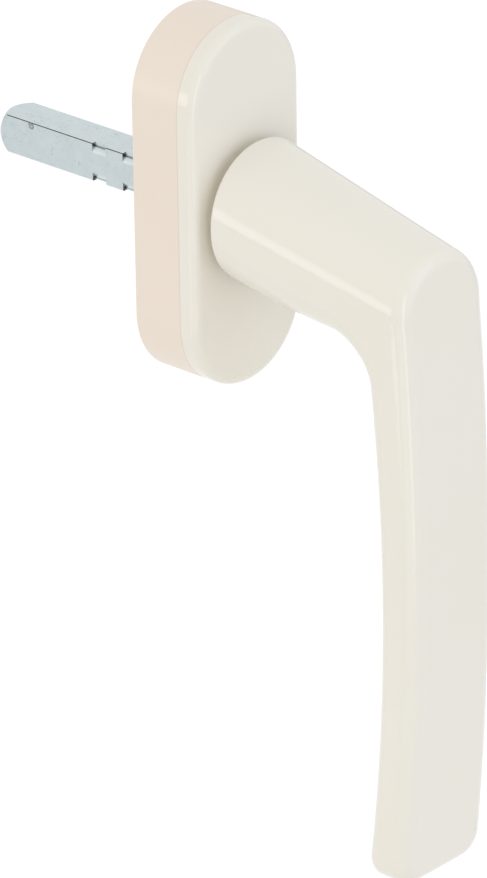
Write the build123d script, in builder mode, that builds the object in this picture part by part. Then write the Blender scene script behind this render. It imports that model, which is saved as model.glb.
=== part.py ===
from build123d import *
from math import cos, radians, sin
import os

# Frame: the origin lies on the spindle's axis in the wall plane, +Z is up, the user is at -Y
# and the spindle points into the window at +Y. A depth is a distance in front of the wall plane.

# Square spindle: a bar with a domed tip, notches turned off-centre into two edges, and a small nick
spindle_size = 7.0
spindle_reach = 41.5
spindle_dome_radius = 5.5
spindle_inset = 26.0
spindle_edge_break = 0.2
notch_radius = 5.2
notch_offset = 1.35
notch_width = 3.1
notch_pitch = 7.0
notch_count = 2
notch_start = 8.7
nick_place = 33.0
nick_drop = 0.6
nick_radius = 0.8
nick_depth = 0.35

# Rosette: a tall stadium, with a moulded base below and a thin cover above
rosette_width = 27.2
rosette_height = 65.8
base_depth = 10.1
base_wall = 2.0
deck_thickness = 2.7
cover_height = 3.5
cover_wall = 1.3
cover_edge_radius = 1.6
spigot_height = 1.2
spigot_wall = 1.2
spigot_clearance = 0.3

# Fixing holes for two countersunk screws, with round lugs that locate in the window frame
screw_spacing = 43.0
screw_hole_diameter = 5.3
countersink_diameter = 9.6
lug_diameter = 10.0
lug_height = 2.5
rib_thickness = 1.2
rib_setback = 0.6

# Journal of the lever and the bush that it turns in
journal_diameter = 15.0
journal_end_depth = 0.3
running_clearance = 0.05
bush_wall = 1.05
bush_flange_width = 1.8
bush_flange_thickness = 1.2
bush_fit = 0.02
bush_axial_play = 0.1
cover_hole_clearance = 0.4

# Square cam on four flats of the journal
seat_across_flats = 12.6
seat_fit = 0.02
cam_across_flats = 17.2
cam_corner_radius = 10.2
cam_play = 0.2

# Leaf springs that press on two sides of the cam, held in slots of two blocks
spring_thickness = 0.6
spring_half_length = 15.4
spring_gap = 0.05
spring_slot_clearance = 0.05
spring_end_play = 0.3
spring_block_start = 11.6

# Retaining plate, its four screws, and the spring ring on the journal's end
plate_thickness = 1.2
plate_depth = 1.8
plate_corner_radius = 1.5
plate_side_clearance = 0.3
plate_bore_clearance = 0.3
plate_screw_across = 12.0
plate_screw_along = 28.0
plate_screw_radius = 1.0
plate_screw_length = 5.0
plate_screw_head_radius = 1.9
plate_screw_head_height = 1.0
plate_screw_head_edge = 0.4
plate_screw_fit = 0.02
plate_screw_hole_clearance = 0.2
ring_thickness = 1.0
ring_play = 0.1
ring_width = 2.2
ring_gap = 4.0
ring_ear_radius = 1.3
ring_ear_hole_radius = 0.6
ring_groove_depth = 0.6
ring_fit = 0.02

# Cross pin that holds the spindle in the lever's socket
pin_diameter = 2.5
pin_end_inset = 0.2
pin_fit = 0.02
socket_fit = 0.05
socket_end_play = 0.2

# Lever: round neck base, arched neck, wide inner crook and bowed grip
neck_diameter = 24.8
neck_gap = 2.35
neck_edge_radius = 0.4
neck_flat = 0.5
neck_tightening = 1.45
neck_bow = 0.45
corner_depth = 55.9
corner_rise = 2.4
front_edge_radius = 2.9
crook_thickness = 8.7
crook_drop = 13.0
crook_radius = 8.1
grip_bow = 2.9
grip_front_apex = 57.2
grip_thickness = 8.7
grip_back_apex = 71.5
grip_width = 21.3
grip_edge_radius = 3.1
foot_drop = 112.8
foot_setback = 0.05
foot_thickness = 9.2
foot_round_height = 5.0
foot_round_across = 5.0
foot_round_back = 1.6

# Sections of the lever: how many for each stretch, and how far they run on past its front
neck_steps = 4
bend_steps = 18
grip_steps = 6
foot_steps = 8
arch_limit = 62.0
front_spare = 12.0

# Depths that several pieces share
rosette_depth = base_depth + cover_height
neck_depth = rosette_depth + neck_gap
deck_back = base_depth - deck_thickness
plate_front = plate_depth + plate_thickness
cam_front = deck_back - cam_play
cam_back = plate_front + cam_play
seat_end = (cam_back + plate_front) / 2
pin_depth = (cam_front + cam_back) / 2
ring_front = plate_depth - ring_play
ring_back = ring_front - ring_thickness
crook_depth = corner_depth - crook_thickness
grip_front_depth = corner_depth + grip_bow
grip_back_depth = grip_front_depth - grip_thickness
foot_front_depth = corner_depth - foot_setback
foot_back_depth = foot_front_depth - foot_thickness

# Radii and half widths that several pieces share
neck_radius = neck_diameter / 2
journal_radius = journal_diameter / 2
journal_end_radius = seat_across_flats / 2
groove_radius = journal_end_radius - ring_groove_depth
bush_bore = journal_radius + running_clearance
bush_radius = bush_bore + bush_wall
flange_radius = bush_radius + bush_flange_width
pocket_half_width = rosette_width / 2 - base_wall
spring_inner = cam_across_flats / 2 + spring_gap
spring_middle = spring_inner + spring_thickness / 2
spring_block_end = (screw_spacing - lug_diameter) / 2
screw_places = [(0, screw_spacing / 2), (0, -screw_spacing / 2)]


def at_depth(depth):
    """Plane parallel to the wall at a depth in front of it, facing the user."""
    return Plane.XZ.offset(depth)


def stadium(inset, mode=Mode.ADD):
    """Outline of the rosette, set in by a distance all round."""
    SlotOverall(rosette_height - 2 * inset, rosette_width - 2 * inset, rotation=90, mode=mode)


def save(piece, name):
    """Label a finished piece and write it to its own file."""
    piece.part.label = name
    export_step(piece.part, f"parts/{name}.step")


os.makedirs("parts", exist_ok=True)

# Moulded base: a shell open at the back, with a deck, screw bosses and lugs, and a cover spigot
with BuildPart() as rosette_base:
    with BuildSketch(at_depth(0)):
        stadium(0)
    extrude(amount=base_depth)
    with BuildSketch(at_depth(0)):
        stadium(base_wall)
    extrude(amount=deck_back, mode=Mode.SUBTRACT)
    with BuildSketch(at_depth(base_depth)):
        stadium(cover_wall + spigot_clearance)
        offset(amount=-spigot_wall, mode=Mode.SUBTRACT)
    extrude(amount=spigot_height)
    with BuildSketch(at_depth(-lug_height)):
        with Locations(*screw_places):
            Circle(lug_diameter / 2)
    extrude(amount=lug_height + deck_back)

    # Ribs tie the lugs to the wall
    with BuildSketch(at_depth(rib_setback)):
        Rectangle(rib_thickness, rosette_height)
        Rectangle(rib_thickness, screw_spacing, mode=Mode.SUBTRACT)
        with Locations(*screw_places):
            Rectangle(rosette_width, rib_thickness)
        stadium(base_wall / 2, Mode.INTERSECT)
    extrude(amount=deck_back - rib_setback)

    # Two blocks carry the springs' ends and the retaining plate
    with BuildSketch(at_depth(plate_front)):
        Rectangle(2 * pocket_half_width, 2 * spring_block_end)
        Rectangle(2 * pocket_half_width, 2 * spring_block_start, mode=Mode.SUBTRACT)
    extrude(amount=deck_back - plate_front)
    with BuildSketch(at_depth(plate_front)):
        with Locations((spring_middle, 0), (-spring_middle, 0)):
            Rectangle(
                spring_thickness + 2 * spring_slot_clearance,
                2 * (spring_half_length + spring_end_play),
            )
    extrude(amount=deck_back - plate_front, mode=Mode.SUBTRACT)
    with BuildSketch(at_depth(plate_front)):
        with GridLocations(plate_screw_across, plate_screw_along, 2, 2):
            Circle(plate_screw_radius + plate_screw_fit)
    extrude(amount=plate_screw_length, mode=Mode.SUBTRACT)

    # Stepped bore of the bush, and the countersunk fixing holes
    with BuildSketch(at_depth(deck_back)):
        Circle(flange_radius + bush_fit)
    extrude(amount=bush_flange_thickness + bush_fit, mode=Mode.SUBTRACT)
    with BuildSketch(at_depth(deck_back)):
        Circle(bush_radius + bush_fit)
    extrude(amount=deck_thickness, mode=Mode.SUBTRACT)
    with Locations(at_depth(base_depth)):
        with Locations(*screw_places):
            CounterSinkHole(screw_hole_diameter / 2, countersink_diameter / 2)

# Cover: a thin cap with a rounded front edge and a hole for the bush
with BuildPart() as rosette_cover:
    with BuildSketch(at_depth(base_depth)):
        stadium(0)
    extrude(amount=cover_height)
    fillet(rosette_cover.faces().sort_by(Axis.Y)[0].edges(), cover_edge_radius)
    with BuildSketch(at_depth(base_depth)):
        stadium(cover_wall)
    extrude(amount=cover_height - cover_wall, mode=Mode.SUBTRACT)
    with BuildSketch(at_depth(base_depth)):
        Circle(bush_radius + cover_hole_clearance)
    extrude(amount=cover_height, mode=Mode.SUBTRACT)

# Bush: turned sleeve with a flange at its back end, which seats in the deck
with BuildPart() as bearing_bush:
    with BuildSketch(Plane.XY):
        with BuildLine():
            Polyline(
                (bush_bore, -deck_back),
                (flange_radius, -deck_back),
                (flange_radius, -deck_back - bush_flange_thickness),
                (bush_radius, -deck_back - bush_flange_thickness),
                (bush_radius, bush_axial_play - neck_depth),
                (bush_bore, bush_axial_play - neck_depth),
                close=True,
            )
        make_face()
    revolve(axis=Axis.Y)

# Cam: a square with turned corners, driven by the four flats of the journal
with BuildPart() as detent_cam:
    with BuildSketch(at_depth(cam_back)):
        Rectangle(cam_across_flats, cam_across_flats)
        Circle(cam_corner_radius, mode=Mode.INTERSECT)
    extrude(amount=cam_front - cam_back)
    with BuildSketch(at_depth(cam_back)):
        Rectangle(seat_across_flats + 2 * seat_fit, seat_across_flats + 2 * seat_fit)
        Circle(journal_radius + seat_fit, mode=Mode.INTERSECT)
    extrude(amount=cam_front - cam_back, mode=Mode.SUBTRACT)

# Leaf springs: flat strips, one at each side of the cam
with BuildPart() as detent_spring_left:
    with BuildSketch(at_depth(cam_back)):
        with Locations((-spring_middle, 0)):
            Rectangle(spring_thickness, 2 * spring_half_length)
    extrude(amount=cam_front - cam_back)

with BuildPart() as detent_spring_right:
    mirror(detent_spring_left.part, about=Plane.YZ)

# Retaining plate: closes the mechanism at the back
with BuildPart() as retaining_plate:
    with BuildSketch(at_depth(plate_depth)):
        RectangleRounded(
            2 * (pocket_half_width - plate_side_clearance),
            2 * (spring_block_end - plate_side_clearance),
            plate_corner_radius,
        )
        Circle(journal_end_radius + plate_bore_clearance, mode=Mode.SUBTRACT)
        with GridLocations(plate_screw_across, plate_screw_along, 2, 2):
            Circle(plate_screw_radius + plate_screw_hole_clearance, mode=Mode.SUBTRACT)
    extrude(amount=plate_thickness)

# Plate screws: four alike, with low rounded heads
with BuildPart() as plate_screws:
    with BuildSketch(at_depth(plate_depth)):
        with GridLocations(plate_screw_across, plate_screw_along, 2, 2):
            Circle(plate_screw_head_radius)
    extrude(amount=-plate_screw_head_height)
    fillet(plate_screws.faces().group_by(Axis.Y)[-1].edges(), plate_screw_head_edge)
    with BuildSketch(at_depth(plate_depth)):
        with GridLocations(plate_screw_across, plate_screw_along, 2, 2):
            Circle(plate_screw_radius)
    extrude(amount=plate_screw_length)

# Spring ring: open at the top, with two ears that have plier holes
ring_radius = groove_radius + ring_fit + ring_width
ear_places = [(side * (ring_gap / 2 + ring_ear_radius), ring_radius) for side in (-1, 1)]
with BuildPart() as retaining_ring:
    with BuildSketch(at_depth(ring_back)):
        Circle(ring_radius)
        with Locations(*ear_places):
            Circle(ring_ear_radius)
        Circle(groove_radius + ring_fit, mode=Mode.SUBTRACT)
        with Locations((0, ring_radius)):
            Rectangle(ring_gap, 2 * ring_radius, mode=Mode.SUBTRACT)
        with Locations(*ear_places):
            Circle(ring_ear_hole_radius, mode=Mode.SUBTRACT)
    extrude(amount=ring_thickness)

# Spindle: square bar, cut by a turned dome at its tip, by the notches and by the nick
with BuildPart() as spindle:
    with BuildSketch(at_depth(spindle_inset)) as spindle_outline:
        Rectangle(spindle_size, spindle_size)
        chamfer(spindle_outline.vertices(), spindle_edge_break)
    extrude(amount=-spindle_inset - spindle_reach)
    with BuildSketch(Plane.XY):
        with BuildLine():
            dome = CenterArc((0, spindle_reach - spindle_dome_radius), spindle_dome_radius, 0, 90)
            Polyline(dome @ 1, (0, -spindle_inset), (spindle_dome_radius, -spindle_inset), dome @ 0)
        make_face()
    revolve(axis=Axis.Y, mode=Mode.INTERSECT)
    with BuildSketch(Plane.XY):
        for notch in range(notch_count):
            with Locations((notch_offset + notch_radius, notch_start + notch * notch_pitch)):
                Rectangle(spindle_size, notch_width, align=(Align.MIN, Align.MIN))
    revolve(axis=Axis((notch_offset, 0, 0), (0, 1, 0)), mode=Mode.SUBTRACT)
    nick_centre = nick_depth - nick_radius - spindle_size / 2
    with Locations((nick_centre, nick_place, spindle_size / 2 - nick_drop)):
        Sphere(nick_radius, mode=Mode.SUBTRACT)
    with BuildSketch(Plane.YZ):
        with Locations((-pin_depth, 0)):
            Circle(pin_diameter / 2 + pin_fit)
    extrude(amount=spindle_size, both=True, mode=Mode.SUBTRACT)

with BuildPart() as spindle_pin:
    with BuildSketch(Plane.YZ):
        with Locations((-pin_depth, 0)):
            Circle(pin_diameter / 2)
    extrude(amount=journal_end_radius - pin_end_inset, both=True)

# Side view of the lever, on which its sections are measured
with BuildSketch(Plane.YZ) as lever_side:
    with BuildLine():
        neck_top = Line((-neck_depth, neck_radius), (-corner_depth, corner_rise))
        grip_front = ThreePointArc(
            neck_top @ 1,
            (-grip_front_depth, -grip_front_apex),
            (-foot_front_depth, -foot_drop),
        )
        foot = Line(grip_front @ 1, (-foot_back_depth, -foot_drop))
        grip_back = ThreePointArc(
            foot @ 1,
            (-grip_back_depth, -grip_back_apex),
            (-crook_depth, -crook_drop),
        )
        neck_under = SagittaArc((-neck_depth, -neck_radius), grip_back @ 1, neck_bow)
        Line(neck_under @ 0, neck_top @ 0)
    make_face()
    fillet(lever_side.vertices().sort_by_distance(grip_back @ 1)[0], crook_radius)

lever_profile = lever_side.sketch.face()
crook_centre = lever_profile.edges().sort_by_distance((0, -crook_depth, -crook_drop))[0].arc_center
neck_length = corner_depth - neck_depth
arch_start = neck_flat / 2
arch_end = corner_rise - (grip_width - neck_flat) / 2
far = grip_front_depth + foot_drop
foot_start = foot_round_height - foot_drop


def direction(angle):
    """Direction in the side view, from upwards at 0 degrees to outwards at 90."""
    return Vector(0, -sin(radians(angle)), cos(radians(angle)))


def inner_end(through, along):
    """Point where a ray in the lever's side view enters it, under the neck or behind the grip."""
    chord = lever_profile.intersect(Edge.make_line(through, through + along * far))[0]
    return chord.center() - along * chord.length / 2


def distance_to(start_height, end_height, through, along):
    """Distance along a ray to a line that runs from the neck's base to the corner's depth."""
    slope = (start_height - end_height) / neck_length
    height = start_height + slope * (through.Y + neck_depth)
    return (height - through.Z) / (along.Z - slope * along.Y)


def arched_section(through, angle):
    """Section of the neck or bend, at an angle from upright: an arch that stands on rounded corners."""
    along = direction(angle)
    arch_way = direction(min(angle, arch_limit))
    inner = inner_end(through, along)
    springing = distance_to(arch_start, arch_end, inner, arch_way)
    arch_height = distance_to(neck_radius, corner_rise, inner, arch_way) - springing
    depth = -(inner + along * springing).Y
    taper = min(1, (depth - neck_depth) / neck_length)
    half_width = neck_radius + taper * (grip_width / 2 - neck_radius)
    flat = neck_flat / 2
    first_radius = neck_radius - flat
    corner = first_radius + (1 - (1 - taper) ** neck_tightening) * (grip_edge_radius - first_radius)
    plane = Plane(origin=inner, x_dir=(1, 0, 0), z_dir=along.cross(Vector(-1, 0, 0)))
    with BuildSketch(plane) as section:
        with BuildLine():
            arch = EllipticalCenterArc((flat, springing), half_width - flat, arch_height, arc_size=90)
            side = Line((half_width, corner), (half_width, springing))
            corner_arc = RadiusArc((half_width - corner, 0), side @ 0, -corner)
            mirror([arch, side, corner_arc], about=Plane.YZ)
            Line((-flat, springing + arch_height), (flat, springing + arch_height))
            Line((corner - half_width, 0), (half_width - corner, 0))
        make_face()
    return section.sketch


def neck_section(step):
    """Upright section of the neck, from its base to the start of the bend."""
    depth = neck_depth + (-crook_centre.Y - neck_depth) * step / neck_steps
    return arched_section(Vector(0, -depth, -foot_drop), 0)


def bend_section(step):
    """Section of the bend, one of a fan about the crook's centre."""
    return arched_section(crook_centre, 90 * step / bend_steps)


def level_section(drop, rounding=0):
    """Level section of the grip or foot, longer than needed in front; rounding closes the foot."""
    inner = inner_end(Vector(0, crook_centre.Y, drop), direction(90))
    inner += direction(90) * rounding * foot_round_back
    width = grip_width - 2 * rounding * foot_round_across
    with BuildSketch(Plane(origin=inner, x_dir=(1, 0, 0), z_dir=(0, 0, -1))) as section:
        Rectangle(width, grip_thickness + front_spare, align=(Align.CENTER, Align.MIN))
        fillet(section.vertices().group_by(Axis.Y)[0], grip_edge_radius * (1 - rounding / 2))
    return section.sketch


def grip_section(step):
    """Level section of the grip, from the end of the bend down to the foot."""
    return level_section(crook_centre.Z + (foot_start - crook_centre.Z) * step / grip_steps)


def foot_section(step):
    """Level section of the rounded foot, closing in along a quarter circle."""
    angle = radians(90 * step / foot_steps)
    return level_section(foot_start - foot_round_height * sin(angle), 1 - cos(angle))


# Lever: one casting, lofted neck, bend and grip, cut by the bowed front and rounded all round it
with BuildPart() as lever:
    loft([neck_section(step) for step in range(neck_steps + 1)])
    loft([bend_section(step) for step in range(bend_steps + 1)])
    loft([grip_section(step) for step in range(grip_steps + 1)])
    loft([foot_section(step) for step in range(foot_steps + 1)])
    with BuildSketch(Plane.YZ):
        with Locations((grip_front.arc_center.X, grip_front.arc_center.Y)):
            Circle(grip_front.radius)
    extrude(amount=neck_diameter, both=True, mode=Mode.INTERSECT)
    front = lever.faces().filter_by(GeomType.CYLINDER).sort_by(SortBy.RADIUS)[-1]
    fillet(front.edges(), front_edge_radius)
    fillet(lever.faces().sort_by(Axis.Y)[-1].edges(), neck_edge_radius)

    # Journal behind the neck, turned and flatted, with a socket for the spindle
    with BuildSketch(at_depth(cam_front)):
        Circle(journal_radius)
    extrude(amount=neck_depth - cam_front)
    with BuildSketch(at_depth(seat_end)):
        Rectangle(seat_across_flats, seat_across_flats)
        Circle(journal_radius, mode=Mode.INTERSECT)
    extrude(amount=cam_front - seat_end)
    with BuildSketch(at_depth(journal_end_depth)):
        Circle(journal_end_radius)
    extrude(amount=seat_end - journal_end_depth)
    with BuildSketch(at_depth(ring_back - ring_fit)):
        Circle(journal_radius)
        Circle(groove_radius, mode=Mode.SUBTRACT)
    extrude(amount=ring_thickness + 2 * ring_fit, mode=Mode.SUBTRACT)
    with BuildSketch(at_depth(journal_end_depth)):
        Rectangle(spindle_size + 2 * socket_fit, spindle_size + 2 * socket_fit)
    extrude(amount=spindle_inset + socket_end_play - journal_end_depth, mode=Mode.SUBTRACT)
    with BuildSketch(Plane.YZ):
        with Locations((-pin_depth, 0)):
            Circle(pin_diameter / 2 + pin_fit)
    extrude(amount=journal_radius, both=True, mode=Mode.SUBTRACT)

save(rosette_base, "rosette_base")
save(rosette_cover, "rosette_cover")
save(bearing_bush, "bearing_bush")
save(detent_cam, "detent_cam")
save(detent_spring_left, "detent_spring_left")
save(detent_spring_right, "detent_spring_right")
save(retaining_plate, "retaining_plate")
save(plate_screws, "plate_screws")
save(retaining_ring, "retaining_ring")
save(spindle, "spindle")
save(spindle_pin, "spindle_pin")
save(lever, "lever")
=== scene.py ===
"""Window handle: finishes for every solid, modelled screws, studio stage, light and camera."""

import logging
import math
from abc import ABC, abstractmethod
from collections.abc import Callable
from dataclasses import dataclass, field
from enum import Enum
from typing import Any

import bmesh
import bpy
from mathutils import Matrix, Vector


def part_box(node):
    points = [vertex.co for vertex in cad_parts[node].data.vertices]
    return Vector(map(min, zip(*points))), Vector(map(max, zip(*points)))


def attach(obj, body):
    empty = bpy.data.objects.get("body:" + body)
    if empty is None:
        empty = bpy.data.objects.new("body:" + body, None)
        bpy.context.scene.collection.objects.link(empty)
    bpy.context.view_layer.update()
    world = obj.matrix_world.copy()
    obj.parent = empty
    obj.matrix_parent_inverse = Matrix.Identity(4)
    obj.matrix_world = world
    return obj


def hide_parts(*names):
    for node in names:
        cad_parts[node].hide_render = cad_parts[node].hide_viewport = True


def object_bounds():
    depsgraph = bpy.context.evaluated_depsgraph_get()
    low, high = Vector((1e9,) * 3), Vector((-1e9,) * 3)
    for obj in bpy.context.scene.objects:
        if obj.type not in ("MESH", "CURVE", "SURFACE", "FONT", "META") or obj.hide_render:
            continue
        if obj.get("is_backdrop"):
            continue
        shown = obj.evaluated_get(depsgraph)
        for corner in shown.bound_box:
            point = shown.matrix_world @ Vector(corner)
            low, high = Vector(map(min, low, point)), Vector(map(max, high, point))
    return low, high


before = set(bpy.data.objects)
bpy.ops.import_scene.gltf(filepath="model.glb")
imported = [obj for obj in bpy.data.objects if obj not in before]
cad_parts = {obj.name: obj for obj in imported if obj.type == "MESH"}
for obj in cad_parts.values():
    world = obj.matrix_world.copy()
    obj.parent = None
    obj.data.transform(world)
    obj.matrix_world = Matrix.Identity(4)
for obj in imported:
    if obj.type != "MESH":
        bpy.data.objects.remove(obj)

MM = 0.001
WHITE = (1.0, 1.0, 1.0, 1.0)

# A face looks along an axis where its normal's share along it is above this
FACING = 0.9

# Sockets of a colour mix, whose names are shared by its other kinds of mix
FIRST_COLOUR = 6
SECOND_COLOUR = 7
MIXED_COLOUR = 2

# Value about which a noise swings
NOISE_MIDDLE = 0.5

Tree = bpy.types.NodeTree
Socket = bpy.types.NodeSocket
Inputs = dict[str | int, Any]
log = logging.getLogger("window_handle")


class Body(str, Enum):
    """Bodies of the handle that new pieces ride."""

    ROSETTE = "rosette"


class Slot(str, Enum):
    """Material slots of the record."""

    CREAM_COATING = "cream_coating"
    BASE_PLASTIC = "base_plastic"
    ZINC_STEEL = "zinc_steel"
    SPRING_STEEL = "spring_steel"
    BUSH_PLASTIC = "bush_plastic"
    CAM_METAL = "cam_metal"


def linear_colour(hex_code: str) -> tuple[float, float, float, float]:
    """Turn an sRGB hex value into a linear colour.

    Args:
        hex_code: colour such as "#ECE8DC".

    Returns:
        Red, green, blue and alpha, linear, from 0 to 1.
    """
    channels = [int(hex_code[place : place + 2], 16) / 255 for place in (1, 3, 5)]
    # The sRGB curve: a straight foot, then a power
    linear = [c / 12.92 if c <= 0.04045 else ((c + 0.055) / 1.055) ** 2.4 for c in channels]
    return (linear[0], linear[1], linear[2], 1.0)


def per_metre(size_mm: float) -> float:
    """Texture scale at which one feature of a pattern is a real size in millimetres."""
    return 1 / (size_mm * MM)


def add_node(tree: Tree, kind: str, inputs: Inputs | None = None, **settings: Any) -> bpy.types.Node:
    """Add one node with its settings, and fill its inputs with links or values.

    Args:
        tree: node tree that gets the node.
        kind: Blender's name of the node's type.
        inputs: for each input, by name or place, a socket to link from or a value to set.
        settings: properties of the node itself.

    Returns:
        The new node.
    """
    node = tree.nodes.new(kind)
    for name, value in settings.items():
        setattr(node, name, value)
    for name, value in (inputs or {}).items():
        if isinstance(value, Socket):
            tree.links.new(value, node.inputs[name])
        else:
            node.inputs[name].default_value = value
    return node


@dataclass(frozen=True)
class Finish(ABC):
    """Surface of one real material, as a node material on object coordinates."""

    name: str

    def material(self) -> bpy.types.Material:
        """Build the material.

        Returns:
            The material, with its pattern, shader and output linked.
        """
        made = bpy.data.materials.new(self.name)
        made.use_nodes = True
        tree = made.node_tree
        tree.nodes.clear()
        place = add_node(tree, "ShaderNodeTexCoord").outputs["Object"]
        shader = add_node(tree, "ShaderNodeBsdfPrincipled", self.pattern(tree, place))
        add_node(tree, "ShaderNodeOutputMaterial", {"Surface": shader.outputs["BSDF"]})
        return made

    @abstractmethod
    def pattern(self, tree: Tree, place: Socket) -> Inputs:
        """Lay out the surface's colour, gloss and relief.

        Args:
            tree: node tree of the material.
            place: object coordinates.

        Returns:
            What goes into each input of the shader.
        """


@dataclass(frozen=True)
class PowderCoat(Finish):
    """Polyester powder coat on cast aluminium: satin cream, with the faint waviness of the baked film."""

    name: str = "powder_coated_aluminium"
    light: str = "#EFEBDF"
    dark: str = "#EDE8DB"
    cloud_mm: float = 22.0
    cloud_detail: float = 2.0
    gloss_cloud_mm: float = 6.0
    smoothest: float = 0.10
    roughest: float = 0.15
    peel_mm: float = 1.4
    peel_detail: float = 1.0
    peel_fineness: float = 0.4
    peel_height_mm: float = 0.003
    refraction: float = 1.5

    def pattern(self, tree: Tree, place: Socket) -> Inputs:
        """Film thickness gives a slow change of tone, and the baked film a soft waviness.

        Args:
            tree: node tree of the material.
            place: object coordinates.

        Returns:
            What goes into each input of the shader.
        """
        cloud = add_node(
            tree,
            "ShaderNodeTexNoise",
            {"Vector": place, "Scale": per_metre(self.cloud_mm), "Detail": self.cloud_detail},
        )
        tone = add_node(
            tree,
            "ShaderNodeMix",
            {
                "Factor": cloud.outputs["Fac"],
                FIRST_COLOUR: linear_colour(self.dark),
                SECOND_COLOUR: linear_colour(self.light),
            },
            data_type="RGBA",
        )
        haze = add_node(
            tree, "ShaderNodeTexNoise", {"Vector": place, "Scale": per_metre(self.gloss_cloud_mm)}
        )
        gloss = add_node(
            tree,
            "ShaderNodeMapRange",
            {"Value": haze.outputs["Fac"], "To Min": self.smoothest, "To Max": self.roughest},
        )
        peel = add_node(
            tree,
            "ShaderNodeTexNoise",
            {
                "Vector": place,
                "Scale": per_metre(self.peel_mm),
                "Detail": self.peel_detail,
                "Roughness": self.peel_fineness,
            },
        )
        relief = add_node(
            tree,
            "ShaderNodeBump",
            {"Height": peel.outputs["Fac"], "Distance": self.peel_height_mm * MM, "Strength": 1.0},
        )
        return {
            "Base Color": tone.outputs[MIXED_COLOUR],
            "Roughness": gloss.outputs["Result"],
            "Normal": relief.outputs["Normal"],
            "IOR": self.refraction,
        }


@dataclass(frozen=True)
class MouldedPlastic(Finish):
    """Injection-moulded ABS: warm cream, with the fine grain that spark erosion leaves in a mould."""

    name: str = "moulded_abs"
    light: str = "#F0E3D4"
    dark: str = "#EEE0D0"
    # Colour of the painted shadow along the joint with the cover
    joint_shadow: str = "#B9A48C"
    cloud_mm: float = 15.0
    cloud_detail: float = 2.0
    # Coarser than the real grain so that it shows
    grain_mm: float = 0.45
    grain_detail: float = 2.0
    grain_height_mm: float = 0.003
    smoothest: float = 0.32
    roughest: float = 0.42
    joint_place: float = 0.0
    joint_width_mm: float = 0.35
    joint_share: float = 0.3
    refraction: float = 1.53

    def pattern(self, tree: Tree, place: Socket) -> Inputs:
        """The melt's flow gives a slow change of tone, the mould a fine grain, and a painted shadow darkens
        a thin line along the joint.

        Args:
            tree: node tree of the material.
            place: object coordinates.

        Returns:
            What goes into each input of the shader.
        """
        cloud = add_node(
            tree,
            "ShaderNodeTexNoise",
            {"Vector": place, "Scale": per_metre(self.cloud_mm), "Detail": self.cloud_detail},
        )
        tone = add_node(
            tree,
            "ShaderNodeMix",
            {
                "Factor": cloud.outputs["Fac"],
                FIRST_COLOUR: linear_colour(self.dark),
                SECOND_COLOUR: linear_colour(self.light),
            },
            data_type="RGBA",
        )
        grain = add_node(
            tree,
            "ShaderNodeTexNoise",
            {"Vector": place, "Scale": per_metre(self.grain_mm), "Detail": self.grain_detail},
        )
        gloss = add_node(
            tree,
            "ShaderNodeMapRange",
            {"Value": grain.outputs["Fac"], "To Min": self.smoothest, "To Max": self.roughest},
        )
        relief = add_node(
            tree,
            "ShaderNodeBump",
            {"Height": grain.outputs["Fac"], "Distance": self.grain_height_mm * MM, "Strength": 1.0},
        )
        return {
            "Base Color": self.paint_joint_shadow(tree, place, tone.outputs[MIXED_COLOUR]),
            "Roughness": gloss.outputs["Result"],
            "Normal": relief.outputs["Normal"],
            "IOR": self.refraction,
        }

    def paint_joint_shadow(self, tree: Tree, place: Socket, tone: Socket) -> Socket:
        """Paint a thin line of shadow along the joint with the cover, darkest on the joint itself.

        Args:
            tree: node tree of the material.
            place: object coordinates.
            tone: colour of the plastic without the painted shadow.

        Returns:
            Colour of the plastic with the painted shadow.
        """
        # Painted shadow: darkest on the joint's line, fading to none over the joint's width
        depth = add_node(tree, "ShaderNodeSeparateXYZ", {"Vector": place}).outputs["Y"]
        beside = add_node(tree, "ShaderNodeMath", {0: depth, 1: self.joint_place}, operation="SUBTRACT")
        apart = add_node(tree, "ShaderNodeMath", {0: beside.outputs["Value"]}, operation="ABSOLUTE")
        joint = add_node(
            tree,
            "ShaderNodeMapRange",
            {
                "Value": apart.outputs["Value"],
                "From Max": self.joint_width_mm * MM,
                "To Min": self.joint_share,
                "To Max": 0.0,
            },
            interpolation_type="SMOOTHSTEP",
        )
        shadowed = add_node(
            tree,
            "ShaderNodeMix",
            {
                "Factor": joint.outputs["Result"],
                FIRST_COLOUR: tone,
                SECOND_COLOUR: linear_colour(self.joint_shadow),
            },
            data_type="RGBA",
        )
        return shadowed.outputs[MIXED_COLOUR]


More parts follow.
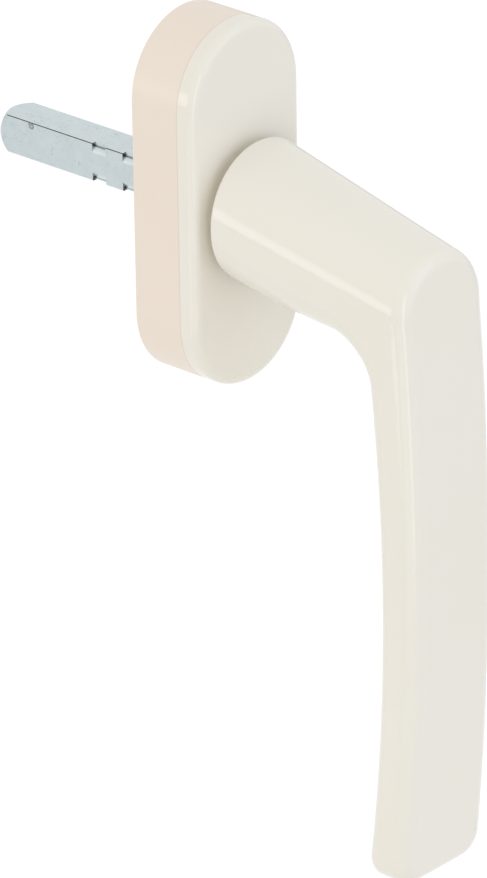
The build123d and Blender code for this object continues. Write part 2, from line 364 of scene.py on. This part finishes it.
@dataclass(frozen=True)
class ZincPlate(Finish):
    """Blue-passivated zinc plate on drawn steel: pale, bluish and mottled, with draw lines along Y."""

    name: str = "zinc_plated_steel"
    pale: str = "#DBE3E4"
    blue: str = "#CBD8DB"
    stain: str = "#9AA2A3"
    mottle_mm: float = 2.2
    mottle_detail: float = 4.0
    streak_across_mm: float = 0.35
    streak_along_mm: float = 14.0
    streak_detail: float = 3.0
    streak_height_mm: float = 0.004
    streak_strength: float = 0.6
    scratch_mm: float = 3.2
    scratch_detail: float = 2.5
    scratch_bend: float = 1.2
    scratch_reach: float = 0.008
    scratch_share: float = 0.5
    smoothest: float = 0.22
    roughest: float = 0.42

    def pattern(self, tree: Tree, place: Socket) -> Inputs:
        """Crystals of the plating mottle the tone, drawing leaves lines, and handling hair scratches.

        Args:
            tree: node tree of the material.
            place: object coordinates.

        Returns:
            What goes into each input of the shader.
        """
        mottle = add_node(
            tree,
            "ShaderNodeTexNoise",
            {"Vector": place, "Scale": per_metre(self.mottle_mm), "Detail": self.mottle_detail},
        )
        tone = add_node(
            tree,
            "ShaderNodeMix",
            {
                "Factor": mottle.outputs["Fac"],
                FIRST_COLOUR: linear_colour(self.blue),
                SECOND_COLOUR: linear_colour(self.pale),
            },
            data_type="RGBA",
        )
        # One stretched noise stands for the draw lines, wider than real ones so that they show
        across = per_metre(self.streak_across_mm)
        stretched = add_node(
            tree,
            "ShaderNodeMapping",
            {"Vector": place, "Scale": (across, per_metre(self.streak_along_mm), across)},
        )
        streak = add_node(
            tree,
            "ShaderNodeTexNoise",
            {"Vector": stretched.outputs["Vector"], "Scale": 1.0, "Detail": self.streak_detail},
        )
        gloss = add_node(
            tree,
            "ShaderNodeMapRange",
            {"Value": streak.outputs["Fac"], "To Min": self.smoothest, "To Max": self.roughest},
        )
        relief = add_node(
            tree,
            "ShaderNodeBump",
            {
                "Height": streak.outputs["Fac"],
                "Distance": self.streak_height_mm * MM,
                "Strength": self.streak_strength,
            },
        )
        scratched = self.scratch(tree, place, tone.outputs[MIXED_COLOUR])
        return {
            "Base Color": self.darken(tree, place, scratched),
            "Roughness": gloss.outputs["Result"],
            "Normal": relief.outputs["Normal"],
            "Metallic": 1.0,
        }

    def scratch(self, tree: Tree, place: Socket, tone: Socket) -> Socket:
        """Draw hair scratches where a slow noise crosses its middle.

        Args:
            tree: node tree of the material.
            place: object coordinates.
            tone: colour of the plating without scratches.

        Returns:
            Colour of the plating with them.
        """
        # The scratches are wider than real ones so that they show
        wander = add_node(
            tree,
            "ShaderNodeTexNoise",
            {
                "Vector": place,
                "Scale": per_metre(self.scratch_mm),
                "Detail": self.scratch_detail,
                "Distortion": self.scratch_bend,
            },
        )
        off_middle = add_node(
            tree, "ShaderNodeMath", {0: wander.outputs["Fac"], 1: NOISE_MIDDLE}, operation="SUBTRACT"
        )
        away = add_node(tree, "ShaderNodeMath", {0: off_middle.outputs["Value"]}, operation="ABSOLUTE")
        line = add_node(
            tree,
            "ShaderNodeMapRange",
            {
                "Value": away.outputs["Value"],
                "From Max": self.scratch_reach,
                "To Min": self.scratch_share,
                "To Max": 0.0,
            },
        )
        scratched = add_node(
            tree,
            "ShaderNodeMix",
            {
                "Factor": line.outputs["Result"],
                FIRST_COLOUR: tone,
                SECOND_COLOUR: linear_colour(self.stain),
            },
            data_type="RGBA",
        )
        return scratched.outputs[MIXED_COLOUR]

    def darken(self, tree: Tree, place: Socket, tone: Socket) -> Socket:
        """Darken places of the plating: none, unless a kind of piece says otherwise.

        Args:
            tree: node tree of the material.
            place: object coordinates.
            tone: colour of the plating before darkening.

        Returns:
            Colour of the darkened plating.
        """
        return tone


@dataclass(frozen=True)
class DarkenedZincBar(ZincPlate):
    """Zinc plate on a square bar along Y: darker along its upper edges and in its nick, and painted shade
    in its notches.
    """

    name: str = "zinc_plated_bar"
    # Colour of the darkened edges and nick, and of the painted shade in the notches
    dark_marks_and_shade: str = "#454544"
    bar_mm: float = 7.0
    edge_break_mm: float = 0.2
    edge_line_mm: float = 0.13
    nick_centre_mm: tuple[float, float, float] = (-3.95, 33.0, 2.9)
    nick_radius_mm: float = 0.82
    nick_tone: float = 0.45
    notch_reach_mm: float = 30.0
    wall_line_mm: float = 1.3
    wall_shade: float = 1.0
    floor_line_mm: float = 0.4
    floor_shade: float = 0.85
    fade_mm: float = 0.03

    def darken(self, tree: Tree, place: Socket, tone: Socket) -> Socket:
        """Darken each kind of place, whichever is darkest: the upper edges, the nick, and the painted shade
        in the notches.

        Args:
            tree: node tree of the material.
            place: object coordinates.
            tone: colour of the plating before darkening.

        Returns:
            Colour of the darkened plating.
        """
        # Darkened edges and nick, and painted shade in the notches, whichever is darkest
        most = self.edge_share(tree, place)
        for share in (self.nick_share(tree, place), self.painted_notch_shade(tree, place)):
            darker = add_node(tree, "ShaderNodeMath", {0: most, 1: share}, operation="MAXIMUM")
            most = darker.outputs["Value"]
        darkened = add_node(
            tree,
            "ShaderNodeMix",
            {"Factor": most, FIRST_COLOUR: tone, SECOND_COLOUR: linear_colour(self.dark_marks_and_shade)},
            data_type="RGBA",
        )
        return darkened.outputs[MIXED_COLOUR]

    def edge_share(self, tree: Tree, place: Socket) -> Socket:
        """Find the middle of the two upper edges.

        Args:
            tree: node tree of the material.
            place: object coordinates.

        Returns:
            1 where the edges are darkened, 0 elsewhere.
        """
        parts = add_node(tree, "ShaderNodeSeparateXYZ", {"Vector": place}).outputs
        sideways = add_node(tree, "ShaderNodeMath", {0: parts["X"]}, operation="ABSOLUTE").outputs["Value"]
        outwards = add_node(tree, "ShaderNodeMath", {0: sideways, 1: parts["Z"]}, operation="ADD")
        skew = add_node(tree, "ShaderNodeMath", {0: sideways, 1: parts["Z"]}, operation="SUBTRACT")
        off_line = add_node(tree, "ShaderNodeMath", {0: skew.outputs["Value"]}, operation="ABSOLUTE")
        edge = (self.bar_mm - self.edge_break_mm) * MM
        line = self.edge_line_mm * MM
        fade = self.fade_mm * MM
        broken = add_node(
            tree,
            "ShaderNodeMapRange",
            {"Value": outwards.outputs["Value"], "From Min": edge - fade, "From Max": edge - fade / 2},
        )
        middle = add_node(
            tree,
            "ShaderNodeMapRange",
            {
                "Value": off_line.outputs["Value"],
                "From Min": line - fade,
                "From Max": line,
                "To Min": 1.0,
                "To Max": 0.0,
            },
        )
        share = add_node(
            tree,
            "ShaderNodeMath",
            {0: broken.outputs["Result"], 1: middle.outputs["Result"]},
            operation="MULTIPLY",
        )
        return share.outputs["Value"]

    def nick_share(self, tree: Tree, place: Socket) -> Socket:
        """Find the nick beside the edge.

        Args:
            tree: node tree of the material.
            place: object coordinates.

        Returns:
            Tone of the nick inside it, 0 elsewhere.
        """
        centre = Vector(self.nick_centre_mm) * MM
        apart = add_node(tree, "ShaderNodeVectorMath", {0: place, 1: centre}, operation="DISTANCE")
        rim = self.nick_radius_mm * MM
        share = add_node(
            tree,
            "ShaderNodeMapRange",
            {
                "Value": apart.outputs["Value"],
                "From Min": rim - self.fade_mm * MM / 2,
                "From Max": rim,
                "To Min": self.nick_tone,
                "To Max": 0.0,
            },
        )
        return share.outputs["Result"]

    def painted_notch_shade(self, tree: Tree, place: Socket) -> Socket:
        """Paint shade into the notches: their end walls, which face along the bar, and their floors, deeper
        than its edges.

        Args:
            tree: node tree of the material.
            place: object coordinates.

        Returns:
            Painted shade of the walls and floors, fading away from the edges' lines, 0 elsewhere.
        """
        # Painted shade: darkens the notches' end walls and a line along their floors
        facing = add_node(tree, "ShaderNodeTexCoord").outputs["Normal"]
        along = add_node(tree, "ShaderNodeSeparateXYZ", {"Vector": facing}).outputs["Y"]
        either_way = add_node(tree, "ShaderNodeMath", {0: along}, operation="ABSOLUTE").outputs["Value"]
        wall = add_node(tree, "ShaderNodeMath", {0: either_way, 1: FACING}, operation="GREATER_THAN")
        spread = add_node(tree, "ShaderNodeVectorMath", {0: place}, operation="ABSOLUTE").outputs["Vector"]
        parts = add_node(tree, "ShaderNodeSeparateXYZ", {"Vector": spread}).outputs
        outermost = add_node(tree, "ShaderNodeMath", {0: parts["X"], 1: parts["Z"]}, operation="MAXIMUM")
        floor_limit = (self.bar_mm / 2 - self.edge_break_mm) * MM
        sunk = add_node(
            tree, "ShaderNodeMath", {0: outermost.outputs["Value"], 1: floor_limit}, operation="LESS_THAN"
        )
        skew = add_node(tree, "ShaderNodeMath", {0: parts["X"], 1: parts["Z"]}, operation="SUBTRACT")
        off_line = add_node(tree, "ShaderNodeMath", {0: skew.outputs["Value"]}, operation="ABSOLUTE")
        near = add_node(
            tree, "ShaderNodeMath", {0: parts["Y"], 1: self.notch_reach_mm * MM}, operation="LESS_THAN"
        )
        shades = []
        for found, reach_mm, strongest in (
            (wall, self.wall_line_mm, self.wall_shade),
            (sunk, self.floor_line_mm, self.floor_shade),
        ):
            fading = add_node(
                tree,
                "ShaderNodeMapRange",
                {
                    "Value": off_line.outputs["Value"],
                    "From Max": reach_mm * MM,
                    "To Min": strongest,
                    "To Max": 0.0,
                },
            )
            tone = add_node(
                tree,
                "ShaderNodeMath",
                {0: found.outputs["Value"], 1: fading.outputs["Result"]},
                operation="MULTIPLY",
            )
            shades.append(tone.outputs["Value"])
        darker = add_node(tree, "ShaderNodeMath", dict(enumerate(shades)), operation="MAXIMUM")
        share = add_node(
            tree,
            "ShaderNodeMath",
            {0: darker.outputs["Value"], 1: near.outputs["Value"]},
            operation="MULTIPLY",
        )
        return share.outputs["Value"]


@dataclass(frozen=True)
class GrainedFinish(Finish):
    """Surface with one fine grain, which changes the tone, the gloss and the relief together."""

    light: str
    dark: str
    grain_mm: float
    grain_detail: float
    grain_height_mm: float
    grain_strength: float
    smoothest: float
    roughest: float

    def pattern(self, tree: Tree, place: Socket) -> Inputs:
        """One noise gives the tone, the gloss and the relief.

        Args:
            tree: node tree of the material.
            place: object coordinates.

        Returns:
            What goes into each input of the shader.
        """
        grain = add_node(
            tree,
            "ShaderNodeTexNoise",
            {"Vector": place, "Scale": per_metre(self.grain_mm), "Detail": self.grain_detail},
        )
        tone = add_node(
            tree,
            "ShaderNodeMix",
            {
                "Factor": grain.outputs["Fac"],
                FIRST_COLOUR: linear_colour(self.dark),
                SECOND_COLOUR: linear_colour(self.light),
            },
            data_type="RGBA",
        )
        gloss = add_node(
            tree,
            "ShaderNodeMapRange",
            {"Value": grain.outputs["Fac"], "To Min": self.smoothest, "To Max": self.roughest},
        )
        relief = add_node(
            tree,
            "ShaderNodeBump",
            {
                "Height": grain.outputs["Fac"],
                "Distance": self.grain_height_mm * MM,
                "Strength": self.grain_strength,
            },
        )
        return {
            "Base Color": tone.outputs[MIXED_COLOUR],
            "Roughness": gloss.outputs["Result"],
            "Normal": relief.outputs["Normal"],
        } | self.bulk()

    def bulk(self) -> Inputs:
        """Say what lies below the surface: metal, unless a finish says otherwise."""
        return {"Metallic": 1.0}


@dataclass(frozen=True)
class RolledSteel(GrainedFinish):
    """Hardened spring steel: grey, with the fine grain of rolling and a film of oil."""

    name: str = "rolled_spring_steel"
    light: str = "#A7A9A8"
    dark: str = "#7F8284"
    # Coarser than the real grain so that it shows
    grain_mm: float = 0.25
    grain_detail: float = 3.0
    grain_height_mm: float = 0.003
    grain_strength: float = 0.5
    smoothest: float = 0.25
    roughest: float = 0.4


@dataclass(frozen=True)
class DieCastZinc(GrainedFinish):
    """Die-cast zinc alloy: dull grey, with the grain and flow marks of the casting."""

    name: str = "die_cast_zinc"
    light: str = "#B4B6B7"
    dark: str = "#94979A"
    grain_mm: float = 0.6
    grain_detail: float = 4.0
    grain_height_mm: float = 0.006
    grain_strength: float = 0.6
    smoothest: float = 0.42
    roughest: float = 0.58


@dataclass(frozen=True)
class Acetal(GrainedFinish):
    """Moulded acetal: milky white, cloudy, smooth and slightly waxy, as bearing plastics are."""

    name: str = "moulded_acetal"
    light: str = "#F2EFE7"
    dark: str = "#EAE7DE"
    grain_mm: float = 4.0
    grain_detail: float = 2.0
    grain_height_mm: float = 0.0
    grain_strength: float = 0.0
    smoothest: float = 0.3
    roughest: float = 0.4
    refraction: float = 1.48

    def bulk(self) -> Inputs:
        """Say what lies below the surface: plastic."""
        return {"IOR": self.refraction}


def dress(piece: bpy.types.Object, material: bpy.types.Material) -> None:
    """Give a piece one material in all its slots.

    Args:
        piece: mesh object, new or from the frame.
        material: material that covers it.
    """
    if not piece.material_slots:
        piece.data.materials.append(material)
    for place in piece.material_slots:
        place.material = material
    log.info("dressed %s in %s", piece.name, material.name)


def dress_nodes(names: dict[Slot, tuple[str, ...]], finishes: dict[Slot, bpy.types.Material]) -> None:
    """Dress solids of the frame in the materials of their slots.

    Args:
        names: names of the solids that take each slot.
        finishes: material of each slot.
    """
    for slot, nodes in names.items():
        for node in nodes:
            dress(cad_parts[node], finishes[slot])


def pick_faces(wanted: Callable[[bmesh.types.BMFace], bool]) -> None:
    """Select just those faces of the mesh in edit mode that pass a test.

    Args:
        wanted: test of one face.
    """
    bpy.ops.mesh.select_all(action="DESELECT")
    bpy.ops.mesh.select_mode(type="FACE")
    mesh = bpy.context.edit_object.data
    shape = bmesh.from_edit_mesh(mesh)
    for face in shape.faces:
        if wanted(face):
            face.select_set(True)
    bmesh.update_edit_mesh(mesh)


@dataclass
class PlateScrew:
    """Self-tapping pan-head screw with a cross recess; its head faces +Y and its top lies at the origin."""

    head_radius: float = 1.9 * MM
    head_height: float = 1.0 * MM
    head_edge: float = 0.4 * MM
    head_steps: int = 5
    sides: int = 48
    root_radius: float = 0.76 * MM
    crest_radius: float = 0.99 * MM
    thread_pitch: float = 0.8 * MM
    thread_turns: int = 5
    tip_length: float = 0.9 * MM
    tip_radius: float = 0.12 * MM
    recess_length: float = 2.2 * MM
    recess_width: float = 0.5 * MM
    recess_depth: float = 0.6 * MM
    recess_taper: float = 0.6
    smooth_angle: float = 35.0

    def build(self) -> bpy.types.Object:
        """Model the screw.

        Returns:
            The screw, whose copies go to their places.
        """
        bpy.ops.object.select_all(action="DESELECT")
        bpy.ops.mesh.primitive_cylinder_add(
            vertices=self.sides,
            radius=self.head_radius,
            depth=self.head_height,
            location=(0, 0, -self.head_height / 2),
        )
        screw = bpy.context.active_object
        bpy.ops.object.transform_apply(location=True)
        bpy.ops.object.mode_set(mode="EDIT")
        self.round_head()
        self.draw_thread()
        bpy.ops.object.mode_set(mode="OBJECT")
        for turn in (0.0, math.pi / 2):
            self.cut_recess(screw, turn)
        bpy.ops.object.select_all(action="DESELECT")
        screw.select_set(True)
        bpy.context.view_layer.objects.active = screw
        screw.rotation_euler = (-math.pi / 2, 0, 0)
        bpy.ops.object.transform_apply(rotation=True)
        bpy.ops.object.shade_smooth_by_angle(angle=math.radians(self.smooth_angle))
        return screw

    def round_head(self) -> None:
        """Round the rim of the head's outer face."""
        pick_faces(lambda face: face.normal.z > FACING)
        bpy.ops.mesh.region_to_loop()
        bpy.ops.mesh.bevel(offset=self.head_edge, segments=self.head_steps, affect="EDGES")

    def draw_thread(self) -> None:
        """Draw the shank out of the head's under face, one ridge for each turn, and point its end."""
        pick_faces(lambda face: face.normal.z < -FACING)
        bpy.ops.mesh.inset(thickness=self.head_radius - self.root_radius)
        flank = self.thread_pitch / 2
        for _ in range(self.thread_turns):
            self.draw_out(flank, self.crest_radius / self.root_radius)
            self.draw_out(flank, self.root_radius / self.crest_radius)
        self.draw_out(self.tip_length, self.tip_radius / self.root_radius)

    def draw_out(self, step: float, growth: float) -> None:
        """Extrude the chosen end face along the screw.

        Args:
            step: distance.
            growth: new radius as a share of the old one.
        """
        bpy.ops.mesh.extrude_region_move(TRANSFORM_OT_translate={"value": (0, 0, -step)})
        bpy.ops.transform.resize(value=(growth, growth, 1), center_override=(0, 0, 0))

    def cut_recess(self, screw: bpy.types.Object, turn: float) -> None:
        """Cut one slot of the cross recess, narrower at its floor.

        Args:
            screw: screw that is cut.
            turn: angle of the slot about the screw's axis.
        """
        bpy.ops.object.select_all(action="DESELECT")
        bpy.ops.mesh.primitive_cube_add(
            size=1,
            rotation=(0, 0, turn),
            scale=(self.recess_length, self.recess_width, 2 * self.recess_depth),
        )
        bit = bpy.context.active_object
        bpy.ops.object.mode_set(mode="EDIT")
        pick_faces(lambda face: face.normal.z < -FACING)
        bpy.ops.transform.resize(
            value=(self.recess_taper, self.recess_taper, 1), center_override=(0, 0, 0)
        )
        bpy.ops.object.mode_set(mode="OBJECT")
        bpy.context.view_layer.objects.active = screw
        cut = screw.modifiers.new("recess", "BOOLEAN")
        cut.operation = "DIFFERENCE"
        cut.object = bit
        bpy.ops.object.modifier_apply(modifier=cut.name)
        bpy.data.objects.remove(bit)


@dataclass
class Rosette:
    """Wall side of the handle: base, cover, bush, springs, retaining plate and its screws."""

    plastic_nodes: tuple[str, ...] = ("rosette_base",)
    coated_nodes: tuple[str, ...] = ("rosette_cover",)
    spring_nodes: tuple[str, ...] = ("detent_spring_left", "detent_spring_right")
    plated_nodes: tuple[str, ...] = ("retaining_plate",)
    bush_nodes: tuple[str, ...] = ("bearing_bush",)
    screw_node: str = "plate_screws"
    screw: PlateScrew = field(default_factory=PlateScrew)
    screws: list[bpy.types.Object] = field(default_factory=list)

    def build(self) -> None:
        """Model one screw and set a copy of it in each corner of the screws' box."""
        lowest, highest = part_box(self.screw_node)
        rim = self.screw.head_radius
        model = self.screw.build()
        for across in (lowest.x + rim, highest.x - rim):
            for height in (lowest.z + rim, highest.z - rim):
                copy = bpy.data.objects.new(f"plate_screw_{len(self.screws) + 1}", model.data.copy())
                copy.data.transform(Matrix.Translation((across, highest.y, height)))
                bpy.context.scene.collection.objects.link(copy)
                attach(copy, Body.ROSETTE.value)
                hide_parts(self.screw_node)
                self.screws.append(copy)
                log.info("set %s", copy.name)
        bpy.data.objects.remove(model)

    def dress(self, finishes: dict[Slot, bpy.types.Material]) -> None:
        """Dress the solids of the rosette.

        Args:
            finishes: material of each slot.
        """
        names = {
            Slot.BASE_PLASTIC: self.plastic_nodes,
            Slot.CREAM_COATING: self.coated_nodes,
            Slot.SPRING_STEEL: self.spring_nodes,
            Slot.ZINC_STEEL: self.plated_nodes,
            Slot.BUSH_PLASTIC: self.bush_nodes,
        }
        dress_nodes(names, finishes)
        for screw in self.screws:
            dress(screw, finishes[Slot.ZINC_STEEL])


@dataclass
class TurningLever:
    """What turns by hand: lever, spindle, cam, cross pin and spring ring."""

    coated_nodes: tuple[str, ...] = ("lever",)
    bar_node: str = "spindle"
    spring_nodes: tuple[str, ...] = ("spindle_pin", "retaining_ring")
    cast_nodes: tuple[str, ...] = ("detent_cam",)

    def dress(self, finishes: dict[Slot, bpy.types.Material]) -> None:
        """Dress the solids that turn.

        Args:
            finishes: material of each slot.
        """
        names = {
            Slot.CREAM_COATING: self.coated_nodes,
            Slot.SPRING_STEEL: self.spring_nodes,
            Slot.CAM_METAL: self.cast_nodes,
        }
        dress_nodes(names, finishes)
        dress(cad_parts[self.bar_node], DarkenedZincBar().material())


@dataclass(frozen=True)
class SoftBox:
    """One studio light: a lit panel that faces the handle; lengths in metres, power in watts."""

    name: str
    towards: tuple[float, float, float]
    distance: float
    width: float
    height: float
    power: float
    colour: str = "#FFFFFF"

    def build(self, aim: Vector) -> bpy.types.Object:
        """Hang the panel.

        Args:
            aim: point that the panel faces.

        Returns:
            The light.
        """
        lamp = bpy.data.lights.new(self.name, "AREA")
        lamp.shape = "RECTANGLE"
        lamp.size = self.width
        lamp.size_y = self.height
        lamp.energy = self.power
        lamp.color = linear_colour(self.colour)[:3]
        panel = bpy.data.objects.new(self.name, lamp)
        direction = Vector(self.towards).normalized()
        panel.location = aim + direction * self.distance
        panel.rotation_euler = direction.to_track_quat("Z", "Y").to_euler()
        panel.visible_camera = False
        bpy.context.scene.collection.objects.link(panel)
        log.info("hung light %s", self.name)
        return panel


@dataclass(frozen=True)
class LitAcrylic(Finish):
    """White acrylic sheet of the table, matt and lit from below, most of all behind the handle."""

    name: str = "lit_white_acrylic"
    shade: str = "#B8B8B8"
    roughness: float = 0.9
    glow: float = 0.17
    pool_glow: float = 0.60
    pool_centre: tuple[float, float, float] = (0.745, 0.67, 0.0)
    pool_inner: float = 0.6
    pool_outer: float = 1.6

    def pattern(self, tree: Tree, place: Socket) -> Inputs:
        """The light below the sheet fades away from a round pool.

        Args:
            tree: node tree of the material.
            place: object coordinates.

        Returns:
            What goes into each input of the shader.
        """
        apart = add_node(
            tree, "ShaderNodeVectorMath", {0: place, 1: self.pool_centre}, operation="DISTANCE"
        )
        glow = add_node(
            tree,
            "ShaderNodeMapRange",
            {
                "Value": apart.outputs["Value"],
                "From Min": self.pool_inner,
                "From Max": self.pool_outer,
                "To Min": self.pool_glow,
                "To Max": self.glow,
            },
            interpolation_type="SMOOTHSTEP",
        )
        return {
            "Base Color": linear_colour(self.shade),
            "Roughness": self.roughness,
            "Specular IOR Level": 0.0,
            "Emission Color": WHITE,
            "Emission Strength": glow.outputs["Result"],
        }


@dataclass
class Studio:
    """Lit white table under the handle, even light from all round, and a few soft boxes."""

    table_drop: float = 0.4
    table_size: float = 14.0
    table_finish: Finish = LitAcrylic()
    surround_strength: float = 0.89
    boxes: tuple[SoftBox, ...] = (
        SoftBox("edge_strip", (-0.5, -0.8, 0.02), 1.0, 0.24, 0.98, 1.3),
        SoftBox("ridge_box", (-0.80, -0.47, -0.36), 1.0, 0.6, 0.26, 0.245),
        SoftBox("cover_strip", (-0.947, 0.130, -0.294), 0.298, 0.09, 0.06, 0.02),
        SoftBox("side_strip", (-0.80, 0.57, 0.06), 0.8, 0.5, 0.19, 0.49),
        SoftBox("low_back_box", (-0.673, 0.605, -0.425), 0.9, 0.5, 0.5, 0.21),
        SoftBox("back_box", (0.673, 0.605, 0.425), 1.2, 1.2, 1.2, 0.1),
        SoftBox("daylight_box", (0.25, -0.88, 0.4), 1.5, 1.2, 1.2, 2.5, "#B9CBFF"),
    )

    def build(self, aim: Vector, lowest: float) -> None:
        """Lay the table, light the surroundings and hang the boxes.

        Args:
            aim: point that the lights face.
            lowest: height of the handle's lowest point.
        """
        bpy.ops.object.select_all(action="DESELECT")
        bpy.ops.mesh.primitive_plane_add(
            size=self.table_size, location=(aim.x, aim.y, lowest - self.table_drop)
        )
        table = bpy.context.active_object
        table.name = "lit_table"
        table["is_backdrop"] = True
        table.data.materials.append(self.table_finish.material())
        self.surround()
        for box in self.boxes:
            box.build(aim)
        bpy.context.scene.view_settings.view_transform = "Standard"

    def surround(self) -> None:
        """Light the handle evenly from all round."""
        world = bpy.data.worlds.new("even_light")
        bpy.context.scene.world = world
        world.use_nodes = True
        sky = world.node_tree.nodes["Background"]
        sky.inputs["Color"].default_value = WHITE
        sky.inputs["Strength"].default_value = self.surround_strength


@dataclass
class PhotoCamera:
    """Long lens that sees the handle as the photograph does."""

    azimuth: float = -48.06
    elevation: float = 25.14
    roll: float = 0.93
    distance: float = 1311 * MM
    aim_right: float = 9.36 * MM
    aim_up: float = -43.21 * MM
    focal_pixels: float = 7747.0
    frame_height_pixels: float = 878.0
    sensor_mm: float = 36.0
    far_clip: float = 100.0

    def build(self) -> bpy.types.Object:
        """Set up the camera.

        Returns:
            The camera, which is also made the scene's own.
        """
        turn, rise, roll = (math.radians(angle) for angle in (self.azimuth, self.elevation, self.roll))
        back = Vector((math.sin(turn) * math.cos(rise), -math.cos(turn) * math.cos(rise), math.sin(rise)))
        level_right = Vector((math.cos(turn), math.sin(turn), 0))
        level_up = back.cross(level_right)
        right = level_right * math.cos(roll) - level_up * math.sin(roll)
        up = level_right * math.sin(roll) + level_up * math.cos(roll)
        lens = bpy.data.cameras.new("photo_camera")
        lens.sensor_width = self.sensor_mm
        lens.lens = self.focal_pixels / self.frame_height_pixels * self.sensor_mm
        lens.clip_end = self.far_clip
        camera = bpy.data.objects.new("photo_camera", lens)
        place = right * self.aim_right + up * self.aim_up + back * self.distance
        camera.matrix_world = Matrix.Translation(place) @ Matrix((right, up, back)).transposed().to_4x4()
        bpy.context.scene.collection.objects.link(camera)
        bpy.context.scene.camera = camera
        return camera


def main() -> None:
    """Dress the handle, then set the stage, the light and the camera."""
    logging.basicConfig(level=logging.INFO, format="%(name)s: %(message)s")
    solid_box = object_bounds()
    finishes = {
        Slot.CREAM_COATING: PowderCoat().material(),
        Slot.BASE_PLASTIC: MouldedPlastic(joint_place=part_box("rosette_cover")[1].y).material(),
        Slot.ZINC_STEEL: ZincPlate().material(),
        Slot.SPRING_STEEL: RolledSteel().material(),
        Slot.BUSH_PLASTIC: Acetal().material(),
        Slot.CAM_METAL: DieCastZinc().material(),
    }
    rosette = Rosette()
    rosette.build()
    rosette.dress(finishes)
    TurningLever().dress(finishes)
    middle = (solid_box[0] + solid_box[1]) / 2
    Studio().build(middle, solid_box[0].z)
    PhotoCamera().build()


if __name__ == "__main__":
    main()
